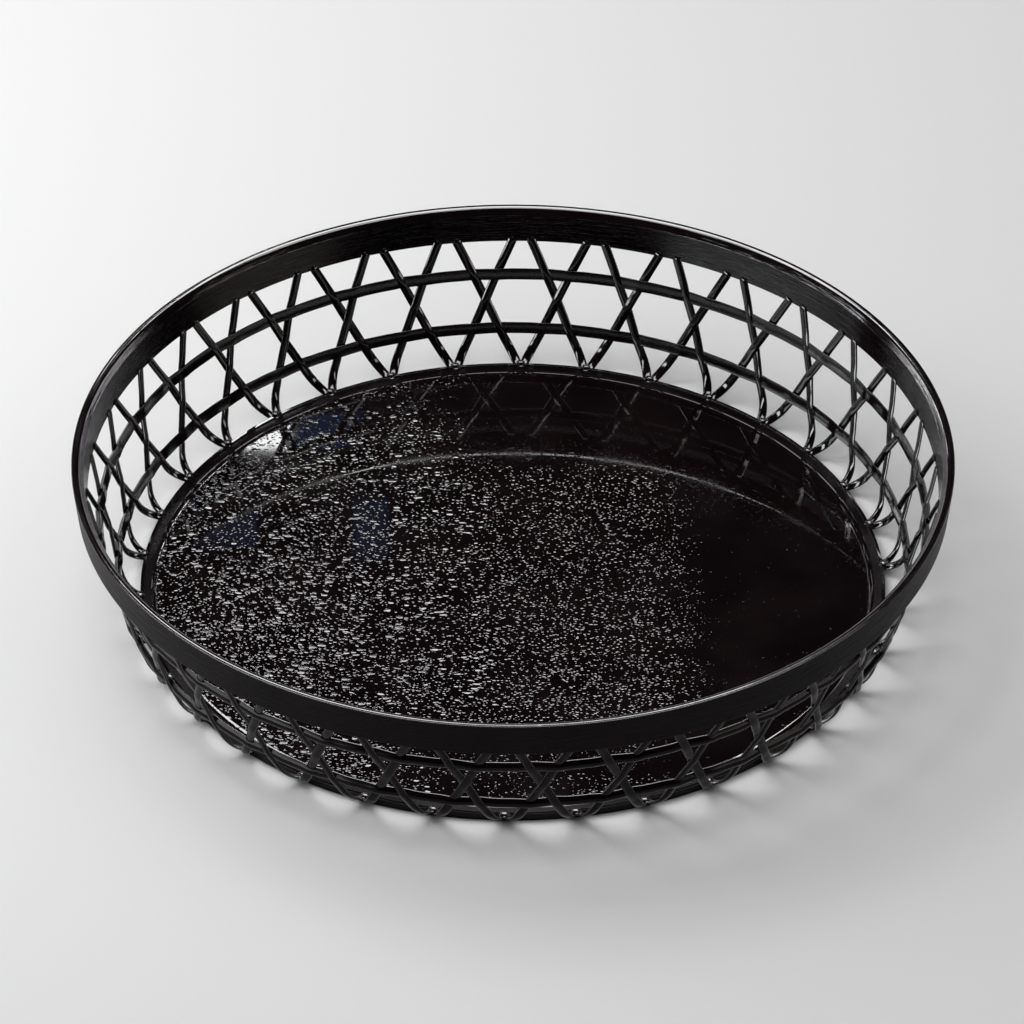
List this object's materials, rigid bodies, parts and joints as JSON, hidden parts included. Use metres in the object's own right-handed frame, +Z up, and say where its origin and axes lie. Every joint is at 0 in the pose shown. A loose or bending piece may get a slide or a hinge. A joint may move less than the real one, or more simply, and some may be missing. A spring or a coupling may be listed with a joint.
{
  "type": "round lattice basket",
  "caption": "Round open-lattice basket: bent strands woven through hoops stand between a flat base tray and a smooth flared rim band. Free-standing, for small items.",
  "frame": {"origin": "centre of the base, on the surface that the basket stands on", "axes": "+Z up out of the open mouth; +Y towards one foot of the lattice"},
  "size_m": [0.25, 0.25, 0.0475],
  "materials": {
    "rim_plastic": "satin to gloss black moulded plastic, dimpled on the top edge",
    "lattice_plastic": "black moulded plastic, glossy inside and satin outside",
    "tray_plastic": "high-gloss black moulded plastic with a raised pear-skin grain"
  },
  "bodies": {
    "root": {"rim_band": "rim_plastic", "upper_hoop": "lattice_plastic", "lower_hoop": "lattice_plastic", "base_ring": "tray_plastic", "floor_plate": "tray_plastic", "lattice_strand_01": "lattice_plastic", "lattice_strand_02": "lattice_plastic", "lattice_strand_03": "lattice_plastic", "lattice_strand_04": "lattice_plastic", "lattice_strand_05": "lattice_plastic", "lattice_strand_06": "lattice_plastic", "lattice_strand_07": "lattice_plastic", "lattice_strand_08": "lattice_plastic", "lattice_strand_09": "lattice_plastic", "lattice_strand_10": "lattice_plastic", "lattice_strand_11": "lattice_plastic", "lattice_strand_12": "lattice_plastic", "lattice_strand_13": "lattice_plastic", "lattice_strand_14": "lattice_plastic", "lattice_strand_15": "lattice_plastic", "lattice_strand_16": "lattice_plastic", "lattice_strand_17": "lattice_plastic", "lattice_strand_18": "lattice_plastic", "lattice_strand_19": "lattice_plastic", "lattice_strand_20": "lattice_plastic", "lattice_strand_21": "lattice_plastic", "lattice_strand_22": "lattice_plastic", "lattice_strand_23": "lattice_plastic", "lattice_strand_24": "lattice_plastic", "lattice_strand_25": "lattice_plastic", "lattice_strand_26": "lattice_plastic", "lattice_strand_27": "lattice_plastic", "lattice_strand_28": "lattice_plastic", "lattice_strand_29": "lattice_plastic", "lattice_strand_30": "lattice_plastic", "lattice_strand_31": "lattice_plastic", "lattice_strand_32": "lattice_plastic", "lattice_strand_33": "lattice_plastic", "lattice_strand_34": "lattice_plastic"}
  },
  "joints": []
}
